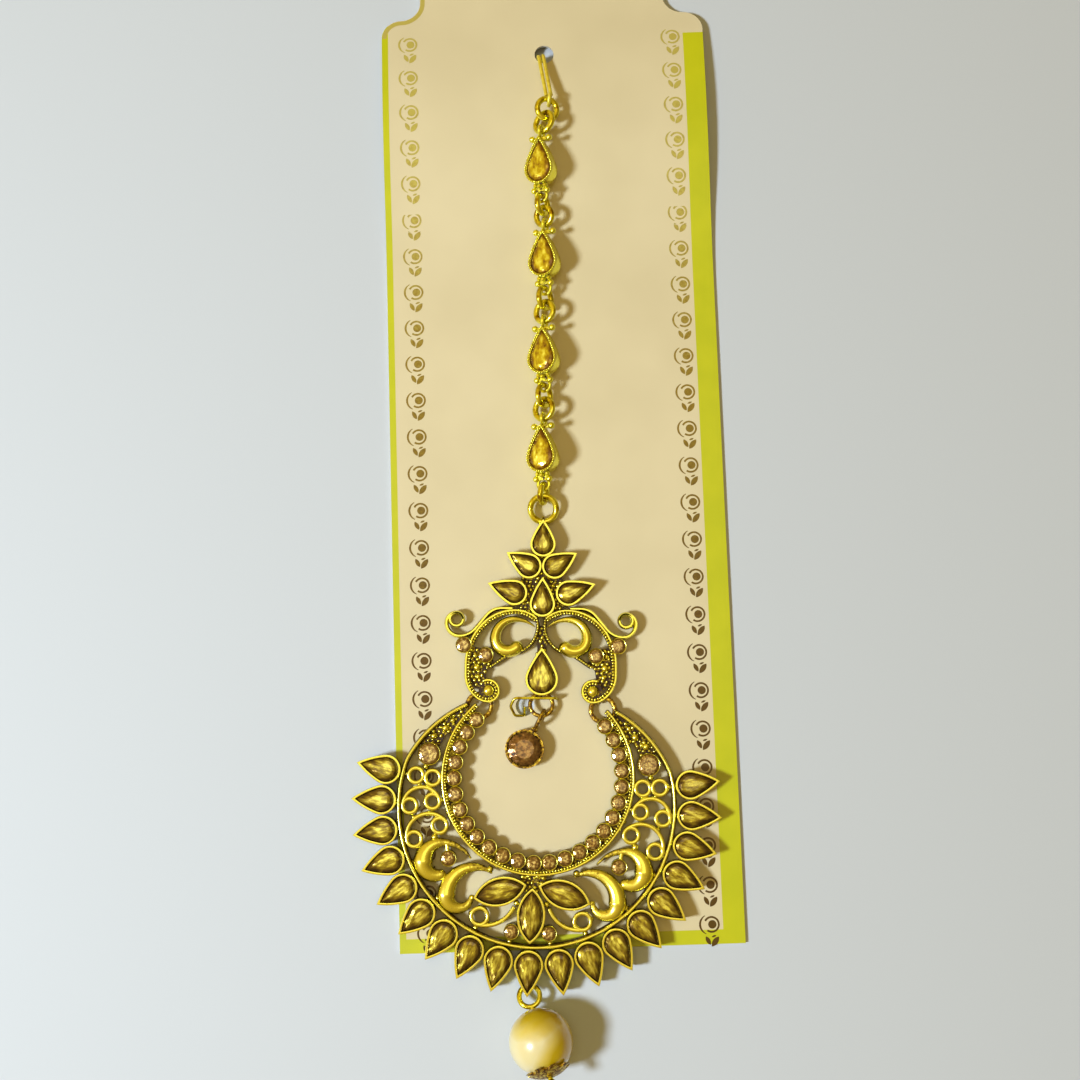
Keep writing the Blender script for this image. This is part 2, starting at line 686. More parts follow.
middle = fan_sum("MULTIPLY", fan_sum("SUBTRACT", start["Count"], 1), 0.5)
steps = fan_sum("SUBTRACT", node(fan_tree, "GeometryNodeInputIndex").outputs[0], middle)
angle = fan_sum("SUBTRACT", fan_sum("MULTIPLY", steps, start["Pitch"]), math.pi / 2)
out_x = fan_sum("MULTIPLY", fan_sum("COSINE", angle), start["Radius"])
out_y = fan_sum("MULTIPLY", fan_sum("SINE", angle), start["Radius"])
spot = node(fan_tree, "ShaderNodeCombineXYZ", {
    "X": out_x, "Y": fan_sum("ADD", out_y, start["Centre Y"])})
spin = node(fan_tree, "ShaderNodeCombineXYZ", {"Z": fan_sum("SUBTRACT", angle, math.pi / 2)})
points = node(fan_tree, "GeometryNodePoints", {"Count": start["Count"]}).outputs[0]
placed_points = node(fan_tree, "GeometryNodeSetPosition", {
    "Geometry": points, "Position": spot.outputs["Vector"]}).outputs["Geometry"]
piece = node(fan_tree, "GeometryNodeObjectInfo", {"Object": start["Piece"]})
close_tree(fan_tree, start, copies(fan_tree, placed_points, piece.outputs["Geometry"],
                                   Rotation=spin.outputs["Vector"]))
print("trees:", [t.name for t in bpy.data.node_groups])

# %% [markdown]
# ## Heaps of shapes
# A casting is dozens of shapes run together. A heap collects their points and faces in the
# casting's own millimetres, with the relief number of each point, and at the end becomes
# one mesh in its place on the card, in metres.


# %% Heap and finished piece
class Heap:
    """Shapes run together: points, faces, and what the points carry."""

    def __init__(self):
        self.points, self.faces, self.relief, self.cut, self.count = [], [], [], [], 0

    def add(self, points, faces, relief, cut=None):
        """Relief is one number for each point, or a pair of heights it rises between."""
        points = np.asarray(points, dtype=float).reshape(-1, 3)
        if isinstance(relief, tuple):
            low, high = relief
            relief = np.clip((points[:, 2] - low) / (high - low), 0, 1)
        relief = np.broadcast_to(np.asarray(relief, dtype=float), len(points))
        cut = np.zeros((len(points), 3)) if cut is None else np.asarray(cut, dtype=float)
        self.points.append(points)
        self.relief.append(relief)
        self.cut.append(cut)
        self.faces += [tuple(self.count + i for i in face) for face in faces]
        self.count += len(points)

    def move(self, change):
        """Apply a function to all the points."""
        self.points = [change(np.vstack(self.points))]


def finished(name, heap, finish, at=None, sharp=38.0):
    """One mesh object in its place, its faces outward and its edges crisp."""
    points = np.vstack(heap.points)
    if at:
        points[:, 0], points[:, 1] = placed(at, points[:, 0], points[:, 1])
    mesh = bpy.data.meshes.new(name)
    mesh.from_pydata((points * MM).tolist(), [], heap.faces)
    relief = mesh.attributes.new("relief", "FLOAT", "POINT")
    relief.data.foreach_set("value", np.concatenate(heap.relief))
    cuts = np.vstack(heap.cut)
    if cuts.any():
        cut = mesh.attributes.new("cut", "FLOAT_VECTOR", "POINT")
        cut.data.foreach_set("vector", cuts.ravel())
    work = bmesh.new()
    work.from_mesh(mesh)
    bmesh.ops.recalc_face_normals(work, faces=work.faces)
    work.to_mesh(mesh)
    work.free()
    mesh.shade_smooth()
    mesh.set_sharp_from_angle(angle=math.radians(sharp))
    mesh.materials.append(finish)
    made = bpy.data.objects.new(name, mesh)
    bpy.context.scene.collection.objects.link(made)
    triangles = sum(len(f) - 2 for f in heap.faces)
    print(f"{name}: {len(points)} points, {triangles} triangles")
    return made


# %% [markdown]
# ### Outlines
# Every setting and its stone share one outline: a pear, a pointed leaf or a circle. An
# inset lets the outline in evenly and keeps its number of points, so that two of them can
# be skinned.


# %% Outlines
def pear_outline(length, width, inset, fine=10):
    """Pear with its tip at +Y: a round foot and two long flanks that touch it."""
    r, d = width / 2, length - width / 2
    big = 3.0 * width                   # the flanks' radius
    leave = math.asin((2 * r * big - r * r - d * d) / (2 * (big - r) * d))
    cx, cy = (r - big) * math.cos(leave), (r - big) * math.sin(leave)
    low = -length / 2 + r
    top = math.acos(-cx / (big - inset))
    line = []
    for i in range(fine + 1):
        a = leave + (top - leave) * i / fine
        line.append((cx + (big - inset) * math.cos(a), low + cy + (big - inset) * math.sin(a)))
    line += [(-x, y) for x, y in reversed(line[:-1])]
    span = math.pi + 2 * leave
    for i in range(1, 2 * fine):
        a = math.pi - leave + span * i / (2 * fine)
        line.append(((r - inset) * math.cos(a), low + (r - inset) * math.sin(a)))
    return line


def leaf_outline(length, width, inset, fine=12):
    """Marquise with tips at +Y and -Y."""
    half, deep = length / 2, width / 2
    radius = (half * half + deep * deep) / (2 * deep)
    reach = math.acos((radius - deep) / (radius - inset))
    right = []
    for i in range(2 * fine + 1):
        a = -reach + 2 * reach * i / (2 * fine)
        right.append((deep - radius + (radius - inset) * math.cos(a),
                      (radius - inset) * math.sin(a)))
    return right + [(-x, y) for x, y in reversed(right[1:-1])]


def round_outline(radius, inset, fine=20):
    """Circle."""
    return [polar(0, 0, radius - inset, 360 * i / fine) for i in range(fine)]


print("points in a pear and a leaf:", len(pear_outline(7, 4.6, 0)), len(leaf_outline(8, 4, 0)))

# %% [markdown]
# ### Bezels
# A bezel is a thin wall round a stone. Its section goes up the outside, over a rounded
# rim, down inside and across the floor. Each corner of the section gives one ring of
# points, a copy of the stone's outline let in by that much, and the rings are skinned.

# %% Lofts and bezels
# Section from the foot outside to the floor: inset, depth below the rim, relief
BEZEL_SECTION = [
    (0.22, 2.70, 0.05), (0.10, 2.60, 0.10), (0.04, 1.50, 0.40), (0.06, 0.62, 0.60),
    (-0.01, 0.34, 0.9), (0.00, 0.12, 1.0), (0.06, 0.02, 1.0), (0.20, 0.0, 1.0),
    (0.34, 0.02, 1.0), (0.39, 0.15, 0.45), (0.42, 0.34, 0.05), (0.44, 0.95, 0.0)]
# The same for a small round setting, with a lip that closes over the stone
CUP_SECTION = [
    (0.14, 2.10, 0.05), (0.05, 2.0, 0.1), (0.02, 1.0, 0.35), (0.04, 0.42, 0.5),
    (-0.02, 0.24, 0.8), (0.00, 0.07, 1.0), (0.05, 0.0, 1.0), (0.11, 0.03, 0.95),
    (0.14, 0.14, 0.4), (0.15, 0.30, 0.05), (0.16, 0.75, 0.0)]


def loft(rings):
    """Skin rings of equally many points, closing both ends with a fan."""
    count = len(rings[0])
    points = [p for ring in rings for p in ring]
    faces = []
    for k in range(len(rings) - 1):
        for i in range(count):
            j = (i + 1) % count
            faces.append((k * count + i, k * count + j, (k + 1) * count + j, (k + 1) * count + i))
    for ring, base in ((rings[0], 0), (rings[-1], (len(rings) - 1) * count)):
        centre = len(points)
        points.append(tuple(sum(p[k] for p in ring) / count for k in range(3)))
        faces += [(base + i, base + (i + 1) % count, centre) for i in range(count)]
    return points, faces


def set_in(points, x, y, turn):
    """Turn points about Z and move them."""
    return [(*placed((x, y, turn), p[0], p[1]), p[2]) for p in points]


def bezel(heap, outline, top, x=0.0, y=0.0, turn=0.0, foot=0.6, section=BEZEL_SECTION):
    """Bezel whose rim is at a height; its foot is cut off at the given height."""
    rings, relief = [], []
    for inset, drop, polish in section:
        ring = outline(inset)
        rings.append([(px, py, max(foot, top - drop)) for px, py in ring])
        relief += [polish] * len(ring)
    points, faces = loft(rings)
    relief += [section[0][2], section[-1][2]]
    heap.add(set_in(points, x, y, turn), faces, relief)


print("bezel section corners:", len(BEZEL_SECTION))

# %% [markdown]
# ### Stones
# A stone is a loft too: a straight wall down in its setting and sloping tiers up to a flat
# table. Its points also carry the cut that the glass finish reads: each stone's number
# moves its cut far enough away that no two stones show the same streaks.

# %% Stones
CUT_STEP, CUT_START = (5.0, 2.3, 3.7), 0.5
# Tiers of a stone from its base to its table: inset, height over the setting's edge, relief
GEM_TIERS = [(0.0, -0.80, 0.0), (0.0, -0.26, 0.0), (0.16, -0.08, 0.10), (0.52, 0.10, 0.50),
             (0.95, 0.20, 0.85)]
SMALL_GEM_TIERS = [(0.0, -0.80, 0.2), (0.0, -0.06, 0.35), (0.10, 0.05, 0.60), (0.45, 0.17, 0.80)]
# From a setting's outline in to its stone
GEM_INSET, SMALL_GEM_INSET, LINK_GEM_INSET = 0.40, 0.13, 0.42
# Where the numbers of the lotus's stones and of the links' stones start
LOTUS_NUMBER, LINK_NUMBER = 30, 40


def gem(heap, outline, edge, x=0.0, y=0.0, turn=0.0, number=0, tiers=GEM_TIERS):
    """Cut stone that fills an outline, with a place and a number for its streaks."""
    rings, relief = [], []
    for inset, rise, middle in tiers:
        ring = outline(inset)
        rings.append([(px, py, edge + rise) for px, py in ring])
        relief += [middle] * len(ring)
    points, faces = loft(rings)
    cut = [(px + CUT_STEP[0] * number, py, CUT_STEP[2] * number + CUT_START)
           for px, py, _ in points]
    heap.add(set_in(points, x, y, turn), faces, relief + [0.0, 1.0], cut)


def gem_object(name, old, heap, finish, at=None):
    """Finished stones in place of solids of the model."""
    made = finished(name, heap, finish, at, sharp=12.0)
    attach(made, "root")
    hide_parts(*old)


print("tiers of a large and a small stone:", len(GEM_TIERS), len(SMALL_GEM_TIERS))

# %% [markdown]
# ### Rings, balls and plates
# The eyes, balls and grounds of a casting are plain shapes. They are made from points and
# faces too, so that they go in the same heap as the rest.


# %% Plain shapes
RING_STEPS, RING_SIDES = 26, 8          # of a small ring, round it and round its wire


def ring_shape(heap, centre, radius, wire, tilt, relief):
    """Torus; tilt is the matrix that turns its flat into place."""
    points, faces = [], []
    for i in range(RING_STEPS):
        a = 2 * math.pi * i / RING_STEPS
        for j in range(RING_SIDES):
            b = 2 * math.pi * j / RING_SIDES
            flat = Vector(((radius + wire * math.cos(b)) * math.cos(a),
                           (radius + wire * math.cos(b)) * math.sin(a), wire * math.sin(b)))
            points.append(tuple(Vector(centre) + tilt @ flat))
            k, m = (i + 1) % RING_STEPS * RING_SIDES, (j + 1) % RING_SIDES
            faces.append((i * RING_SIDES + j, k + j, k + m, i * RING_SIDES + m))
    heap.add(points, faces, relief)


def dome(heap, x, y, z, radius, squash, relief, sides=16, rings=9):
    """Ball, flattened by squash."""
    levels = []
    for k in range(1, rings):
        a = -math.pi / 2 + math.pi * k / rings
        rise = z + radius * squash * math.sin(a)
        levels.append([(x + px * math.cos(a), y + py * math.cos(a), rise)
                       for px, py in round_outline(radius, 0, sides)])
    heap.add(*loft(levels), relief)


def plate(heap, line, low, high, relief):
    """Flat plate from an outline."""
    count = len(line)
    points = [(x, y, low) for x, y in line] + [(x, y, high) for x, y in line]
    faces = [tuple(range(count)), tuple(range(count, 2 * count))]
    faces += [(i, (i + 1) % count, count + (i + 1) % count, count + i) for i in range(count)]
    heap.add(points, faces, relief)


shown = Heap()
dome(shown, 0, 0, 0, 1.0, 1.0, 1.0)
print("faces of a ball:", len(shown.faces))

# %% [markdown]
# ### Wires and granules in a heap
# These put what the trees make in a heap. A wire's free ends would be flat discs, so a few
# more points narrow them to a round end. Granules are scattered in rows with a little
# chance in each place and size; the chance has a fixed seed, so it's the same every time.

# %% Wires, beads and granules
END_SHARES = (0.97, 0.8, 0.5, 0.2)      # how far out each point of a round end is
TIP_SHARES = (0.3, 0.55, 0.78, 0.92, 0.985)
SCATTER = 0.12                          # how far chance moves a granule


def wires(heap, lines, depth, relief, sides=10):
    """Oval wires: each line is its points with z and half width, and whether it's closed."""
    holder = line_holder("lines", lines)
    heap.add(*baked(holder, wire_tree, {"Depth": depth, "Sides": sides}), relief)


def bead_line(heap, lines, bead, pitch, relief):
    """Beads of a radius every so often along lines."""
    holder = line_holder("lines", lines)
    heap.add(*baked(holder, bead_tree, {"Bead": bead, "Pitch": pitch}), relief)


def grains(heap, spots, squash, relief):
    """Granules at (x, y, z, radius)."""
    holder = line_holder("spots", [([spot], False) for spot in spots])
    heap.add(*baked(holder, grain_tree, {"Squash": squash}), relief)


def is_inside(line, px, py):
    """Whether a point is inside an outline."""
    inside = False
    for (ax, ay), (bx, by) in zip(line, line[1:] + line[:1]):
        if (ay > py) != (by > py) and px < ax + (bx - ax) * (py - ay) / (by - ay):
            inside = not inside
    return inside


def scatter(line, pitch, size, level, seed):
    """Granule spots spread unevenly inside an outline."""
    chance = np.random.default_rng(seed)
    xs, ys = [p[0] for p in line], [p[1] for p in line]
    spots = []
    for row, y in enumerate(np.arange(min(ys), max(ys), pitch * 0.87)):
        for x in np.arange(min(xs) + row % 2 * pitch / 2, max(xs), pitch):
            px = x + chance.uniform(-SCATTER, SCATTER)
            py = y + chance.uniform(-SCATTER, SCATTER)
            if is_inside(line, px, py):
                spots.append((px, py, level, size * chance.uniform(0.75, 1.2)))
    return spots


def round_end(last, before, shares):
    """Points that carry a line on from its last one to a round end."""
    first = Vector(last[:2])
    outward = (first - Vector(before[:2])).normalized()
    level, half = last[2:]
    end = []
    for share in shares:
        reach = first + outward * half * share
        end.append((reach.x, reach.y, level, half * math.sqrt(1 - share * share)))
    return end


def even(line, z, half, soft_start=False, soft_end=False):
    """A line of one half width, its free ends rounded if wanted."""
    made = [(p[0], p[1], z, half) for p in line]
    for wanted, order in ((soft_start, 1), (soft_end, -1)):
        if wanted:
            made = made[::order]
            made = (round_end(made[0], made[1], END_SHARES) + made)[::order]
    return made


def scroll(x, y, heading, rows, tip, z, rise=0.0):
    """Swelling scroll as a wire line: width grows along the rows, and the end is a ball."""
    line = []
    for px, py, _, row, share in walk(x, y, heading, rows):
        last = tip if row == 0 else rows[row - 1][2]
        half = (last + (rows[row][2] - last) * share) / 2
        line.append((px, py, z + rise * half, half))
    return line + round_end(line[-1], line[-2], TIP_SHARES)


def both(lines):
    """Open lines of the left half with their mirror images."""
    return [(line, False) for line in lines] + [(flipped(line), False) for line in lines]


shown = [(0, 0), (4, 0), (4, 4), (0, 4)]
print("granules on 4 by 4 mm:", len(scatter(shown, 0.78, 0.30, 0, 7)))

# %% [markdown]
# ## The crown
# The upper casting: six pear stones fan out over two rope-edged arches, each with a
# swelling scroll inside and a small curl at its side, and a large pear hangs between them.
# All its numbers come from the solid model: where each setting is, and each wire's arcs.

# %% Crown sizes
CROWN_AT = (-3.43, -35.06, -2.4)        # x, y and turn, as for placed
CARD_FACE = 0.5
WIRE_BACK, WIRE_TOP, RIM_TOP, BEZEL_TOP, BACKING_TOP = 1.0, 2.6, 3.0, 3.3, 1.9
CROWN_PEARS = [                         # tip, foot and width
    (0.15, 19.50, 0.15, 13.40, 4.10), (-5.65, 14.10, -0.30, 10.85, 4.10),
    (5.65, 14.10, 0.30, 10.85, 4.10), (-8.60, 9.15, -2.35, 6.95, 4.10),
    (8.60, 9.15, 2.35, 6.95, 4.10), (0.15, 10.20, 0.15, 3.80, 4.10),
    (0.15, -1.00, 0.15, -8.60, 5.20)]
CROWN_ROUNDS = [                        # middle and radius
    (-12.25, -0.70, 1.30), (-8.75, -2.30, 1.25), (12.25, -0.70, 1.30), (8.75, -2.30, 1.25)]
CROWN_BEADS = [(-10.15, -4.20, 0.62), (-10.45, -2.35, 0.40), (-9.95, -5.70, 0.42)]
ROPE_ARCH = [(4.86, 41.1), (7.0, 45.0), (9.0, 45.0), (1.6, 0), (4.4, 55.0), (2.6, 35.0),
             (1.5, 200.0)]
LOBE_WIRE = [(3.0, -22.0), (4.4, -80.0), (5.0, 22.0), (2.6, 0)]
CURL_WIRE = [(1.05, 90.0), (1.60, 90.0), (2.10, 90.0), (3.30, 50.0), (2.80, 0), (3.20, -50.0),
             (1.6, 0)]
COMMA_ROWS = [(4.86, 41.1, 1.00), (3.10, 90.0, 1.85), (2.00, 135.0, 2.15)]
CURL_LOOP = (-13.50, 3.40, 1.05)
MILGRAIN, FINE_MILGRAIN = (0.24, 0.47), (0.22, 0.43)    # radius and pitch of the beads
SPIRAL_CUP, SPIRAL_CUP_R, SPIRAL_CUP_BACK, SPIRAL_CUP_TOP = (8.25, -7.87), 1.5, 2.05, 2.45
SPIRAL_BALL_R, SPIRAL_BALL_Z = 0.92, 2.35
GROUND_PITCH, GROUND_GRAIN, CROWN_SEED, CRESCENT_SEED = 0.78, 0.30, 7, 11
print("crown settings:", len(CROWN_PEARS) + len(CROWN_ROUNDS))

# %% [markdown]
# The arches are two lines side by side: a plain polished wire outside and a row of
# milgrain inside it. Both stand on a darker bar that joins them. Each wire is given its
# level, its half width, how deep it is for its width, and the heights that its relief
# rises between.

# %% Crown wires
crown = Heap()
arch = walk(-0.90, 3.50, 138.9, ROPE_ARCH)
lobe = walk(-0.80, 3.70, 294.0, LOBE_WIRE)
curl = walk(-12.45, 3.40, 90.0, CURL_WIRE)
bar_z = (WIRE_BACK + WIRE_TOP) / 2
wires(crown, both([even(beside(arch, 0.0), bar_z - 0.10, 0.42)]), 1.65, (2.1, 4.0))
wires(crown, both([even(beside(arch, -0.20), WIRE_TOP - 0.12, 0.235)]), 1.1, (1.9, 2.6))
bead_line(crown, both([even(beside(arch, 0.24), WIRE_TOP - 0.10, 0.2)]), *MILGRAIN,
          (2.25, 2.62))
wires(crown, both([even(beside(lobe, 0.0), bar_z, 0.31)]), 2.4, (2.1, 3.6))
bead_line(crown, both([even(beside(lobe, 0.0), WIRE_TOP - 0.02, 0.2)]), *FINE_MILGRAIN,
          (2.3, 2.75))
wires(crown, both([even(beside(curl, 0.0), bar_z + 0.05, 0.35, soft_start=True)]), 2.05,
      (1.2, 2.3))
curl_eye = even(circle_points(*CURL_LOOP), bar_z + 0.05, 0.35)
wires(crown, [(curl_eye, True), (flipped(curl_eye), True)], 2.05, (1.2, 2.3))
wires(crown, both([scroll(-1.0, 2.30, 138.9, COMMA_ROWS, 0.2, 1.75, 0.35)]), 1.25, (1.0, 2.2), 16)
print("crown wire points:", crown.count)

# %% [markdown]
# Between the wires the casting has a thin ground, dark with stain and covered in
# granules. A cup with one large ball ends each arch.


# %% Crown ground
def ground(heap, lines, seed):
    """Thin plates covered in granules."""
    for line in lines:
        plate(heap, line, WIRE_BACK, BACKING_TOP, 0.10)
        spots = scatter(line, GROUND_PITCH, GROUND_GRAIN, BACKING_TOP + 0.05, seed)
        grains(heap, spots, 1.0, (1.75, 2.3))


field = [(-11.3, -0.9), (-9.2, -1.2), (-7.4, -3.4), (-8.6, -4.6), (-8.9, -6.3), (-10.0, -7.6),
         (-11.3, -6.4)]
heart = [(0.15, 14.6), (-4.4, 8.4), (-3.2, 4.7), (3.2, 4.7), (4.4, 8.4)]
neck = [(-0.6, -2.1), (0.9, -2.1), (0.9, 2.5), (-0.6, 2.5)]
ground(crown, (field, flipped(field), heart, neck), CROWN_SEED)
for side in (-1, 1):
    x, y = side * SPIRAL_CUP[0], SPIRAL_CUP[1]
    disc = [polar(x, y, SPIRAL_CUP_R, 18 * i) for i in range(20)]
    plate(crown, disc, SPIRAL_CUP_BACK, SPIRAL_CUP_TOP, 0.05)
    dome(crown, x, y, SPIRAL_BALL_Z, SPIRAL_BALL_R, 0.92, (1.9, 2.7))
beads = [(x, y, BACKING_TOP + 0.35 * r, r) for x, y, r in CROWN_BEADS + flipped(CROWN_BEADS)]
grains(crown, beads, 0.95, (1.8, 2.4))
print("crown points with its ground:", crown.count)

# %% [markdown]
# The settings come last. A pear is known by its tip and its foot, which give its length,
# its middle and its turn.


# %% Crown settings
def pear_place(row):
    """Length, width, middle and turn of a pear from its tip, foot and width."""
    tip_x, tip_y, foot_x, foot_y, width = row
    length = math.hypot(tip_x - foot_x, tip_y - foot_y)
    turn = math.degrees(math.atan2(tip_y - foot_y, tip_x - foot_x)) - 90
    return length, width, ((tip_x + foot_x) / 2, (tip_y + foot_y) / 2, turn)


for row in CROWN_PEARS:
    length, width, place = pear_place(row)
    bezel(crown, lambda inset: pear_outline(length, width, inset), BEZEL_TOP, *place)
for x, y, r in CROWN_ROUNDS:
    bezel(crown, lambda inset: round_outline(r, inset), RIM_TOP, x, y, foot=0.9,
          section=CUP_SECTION)
print("crown points with its settings:", crown.count)

# %% [markdown]
# ### Room behind for the rings
# The pendant ring, the side rings and the drop's ring pass behind the casting. Its back is
# raised round each of them, as the solid model does, and a small staple holds the ring.

# %% Back of the crown
SIDE_RINGS = {-1: (-9.70, -10.30), 1: (9.90, -10.75)}
SIDE_RING_R, SIDE_RING_Z, RECESS_R, RECESS_TOP = 1.90, 1.52, 2.75, 2.05
STAPLE_R, STAPLE_WIRE, PENDANT_STAPLE_R = 0.72, 0.20, 0.80
STAPLE_RELIEF = 0.35
PEAR_TIP_STAPLE, DROP_STAPLE = (0.15, 19.25), (0.15, -8.25)
PENDANT_STAPLE_RISE, DROP_STAPLE_RISE = 1.12, 1.08
# From a staple to the middle of its ring's recess, its radius and its height
PENDANT_RECESS, DROP_RECESS = (2.08, 3.00, 2.23), (-1.80, 2.50, 2.12)
CROWN_STAPLE_LEAN, HORN_STAPLE_LEAN = 28.0, 15.0
UPRIGHT = Matrix.Rotation(math.pi / 2, 3, "Y")      # stands a flat ring on its edge


def about_z(degrees):
    """Matrix of a turn in the plane of the card."""
    return Matrix.Rotation(math.radians(degrees), 3, "Z")


def lifted(points, spots):
    """Raise whatever stands in a round recess, (x, y, radius, height), to its roof."""
    for x, y, radius, height in spots:
        near = (np.hypot(points[:, 0] - x, points[:, 1] - y) < radius) & (points[:, 2] < height)
        points[near, 2] = height
    return points


def staple(heap, spot, tilt, radius=STAPLE_R):
    """Small loop behind a casting, on its edge, for a ring's wire to pass through."""
    ring_shape(heap, spot, radius, STAPLE_WIRE, tilt @ UPRIGHT, STAPLE_RELIEF)


recesses = [(*SIDE_RINGS[side], RECESS_R, RECESS_TOP) for side in (-1, 1)]
for (x, y), (shift, radius, height) in ((PEAR_TIP_STAPLE, PENDANT_RECESS),
                                        (DROP_STAPLE, DROP_RECESS)):
    recesses.append((x, y + shift, radius, height))
crown.move(lambda points: lifted(points, recesses))
staple(crown, (*PEAR_TIP_STAPLE, CARD_FACE + PENDANT_STAPLE_RISE), about_z(0), PENDANT_STAPLE_R)
staple(crown, (*DROP_STAPLE, CARD_FACE + DROP_STAPLE_RISE), about_z(0))
for side in (-1, 1):
    lean = 90 + side * CROWN_STAPLE_LEAN
    staple(crown, (*polar(*SIDE_RINGS[side], SIDE_RING_R, lean), SIDE_RING_Z), about_z(lean + 90))
crown_piece = finished("crown_casting", crown, cast_gold, CROWN_AT)
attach(crown_piece, "root")
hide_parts("crown_frame")

# %% [markdown]
# ### Stones of the crown
# Each large stone is a piece of its own with its own number, so that no two of them show
# the same streaks. The small round ones are one mesh.


# %% Crown stones
def round_gems(name, old, rounds, at):
    """Small round stones in their cups."""
    heap = Heap()
    for number, (x, y, r) in enumerate(rounds):
        gem(heap, lambda inset: round_outline(r, SMALL_GEM_INSET + inset, 12), RIM_TOP, x, y, 0,
            number, SMALL_GEM_TIERS)
    gem_object(name, [old], heap, rose, at)


for number, row in enumerate(CROWN_PEARS):
    length, width, place = pear_place(row)
    stone = Heap()
    gem(stone, lambda inset: pear_outline(length, width, inset + GEM_INSET, 5), BEZEL_TOP,
        *place, number)
    gem_object(f"crown_gem_{number + 1}", [f"crown_stone_{number + 1}"], stone, champagne,
               CROWN_AT)
round_gems("crown_small_gems", "crown_round_stones", CROWN_ROUNDS, CROWN_AT)

# %% [markdown]
# ## The crescent
# The lower casting is a crescent with its horns up. Nineteen pear petals stand round its
# rim, twenty-five small stones line its hollow, and the field between is filled with
# curled wires, swelling scrolls, granules and a lotus of three pointed stones.

# %% Crescent sizes
CRESCENT_AT = (-4.95, -60.75, -4.7)
RIM_R, RIM_HALF, RIM_LEAVE = 21.60, 0.425, 14.0
HORN_ARCS = [(7.0, -14.0), (19.56, -35.3)]
ROW_CENTRE, ROW_R, ROW_COUNT, ROW_PITCH, ROW_CUP = 4.4, 13.2, 25, 10.82, 1.27
INNER_WIRE_R, INNER_WIRE_OVERRUN = 15.0, 6.0
PETALS, PETAL_PITCH, PETAL_R, PETAL_LENGTH, PETAL_WIDTH = 19, 11.17, 25.48, 7.05, 4.60
LEAF_LENGTH, LEAF_WIDTH = 8.50, 4.45
LOTUS = [(-5.0, -13.35, 106.5), (5.0, -13.35, -106.5), (0.0, -16.80, 0.0)]
FIELD_ROUNDS = [(-17.25, 7.20, 1.80), (-13.30, -8.75, 1.25), (-2.93, -19.35, 1.20)]
FIELD_BEADS = [
    (-13.90, 12.60, 0.50), (-14.95, 11.35, 0.65), (-16.75, 10.00, 0.60), (-17.70, 5.20, 0.50),
    (-18.55, 2.35, 0.40), (-17.15, 2.10, 0.40), (-19.15, -2.75, 0.45), (-15.70, -5.60, 0.60),
    (-20.35, -7.05, 0.50), (-18.70, -9.60, 0.45), (-13.75, -1.75, 0.45), (-14.90, 3.60, 0.40),
    (-20.60, 3.90, 0.45), (-9.35, -16.95, 0.45), (-0.75, -10.85, 0.40), (-1.60, -11.05, 0.40),
    (-6.75, -10.10, 0.55), (-14.90, 0.10, 0.40), (-9.30, -14.55, 0.42), (-14.60, -14.90, 0.55),
    (-3.15, -20.90, 0.45), (-2.35, -15.05, 0.50), (-8.55, -19.10, 0.45)]
# Middles of the left and right loop, their radius, and the radius of the arch over them
DOUBLE_CURLS = [
    (-19.15, 3.75, -16.50, 3.50, 1.15, 0.0), (-19.85, -1.00, -16.30, -0.15, 1.12, 3.00),
    (-18.85, -6.10, -15.00, -3.80, 1.15, 3.49)]
CURL_HALF = 0.30
SCROLL_HIGH = (-9.85, -8.65, 125.8,
               [(5.42, 54.2, 1.25), (3.00, 90.0, 3.20), (2.10, 110.0, 1.75)], 0.30)
SCROLL_LOW = (-6.40, -10.75, 142.4,
              [(4.10, 37.6, 1.35), (4.45, 90.0, 2.95), (1.95, 175.0, 0.75)], 0.30)
FOOT_CURL, FOOT_TAIL = (-8.00, -17.32, 1.28), [(4.85, 77.0)]
STEM = [(-13.30, -8.75), (-13.65, -6.70)]
print("crescent settings:", PETALS + ROW_COUNT + len(LOTUS) + 2 * len(FIELD_ROUNDS))

# %% [markdown]
# Two long wires carry the crescent: the rim, from horn tip to horn tip, and the inner wire
# along the row of stones, with milgrain beside it. Each has a narrow bright line on its top.

# %% Rim and inner wire
crescent = Heap()
x, y = polar(0, 0, RIM_R, 180 - RIM_LEAVE)
horn = [stop[:2] for stop in walk(x, y, 90 - RIM_LEAVE, HORN_ARCS)]
rim_line = (horn[::-1] + arc_points(0, 0, RIM_R, 180 - RIM_LEAVE, 360 + RIM_LEAVE)[1:-1] +
            flipped(horn))
for level, half, depth, polish in ((1.90, RIM_HALF, 2.4, (2.2, 3.8)), (2.78, 0.25, 0.9, 1.0)):
    wires(crescent, [(even(rim_line, level, half, True, True), False)], depth, polish, 12)

reach = ROW_PITCH * (ROW_COUNT - 1) / 2 + INNER_WIRE_OVERRUN
inner_line = arc_points(0, ROW_CENTRE, INNER_WIRE_R, -90 - reach, -90 + reach)
for level, half, depth, polish in ((1.80, 0.31, 2.9, (2.1, 3.6)), (2.66, 0.21, 0.9, 1.0)):
    wires(crescent, [(even(inner_line, level, half, True, True), False)], depth, polish)
milgrain = arc_points(0, ROW_CENTRE, INNER_WIRE_R - 0.40, -90 - reach, -90 + reach)
bead_line(crescent, [(even(milgrain, 2.72, 0.2), False)], *MILGRAIN, (2.3, 2.85))
print("rim length, mm:", round(sum(math.dist(a, b) for a, b in zip(rim_line, rim_line[1:])), 1))

# %% [markdown]
# The field is filigree. A double curl is two loops with an arch over them, which touches
# both. The wires are drawn twice, a dark wire below and a bright round one on top. The
# swelling scrolls are domed, and are the brightest places of the whole jewel.

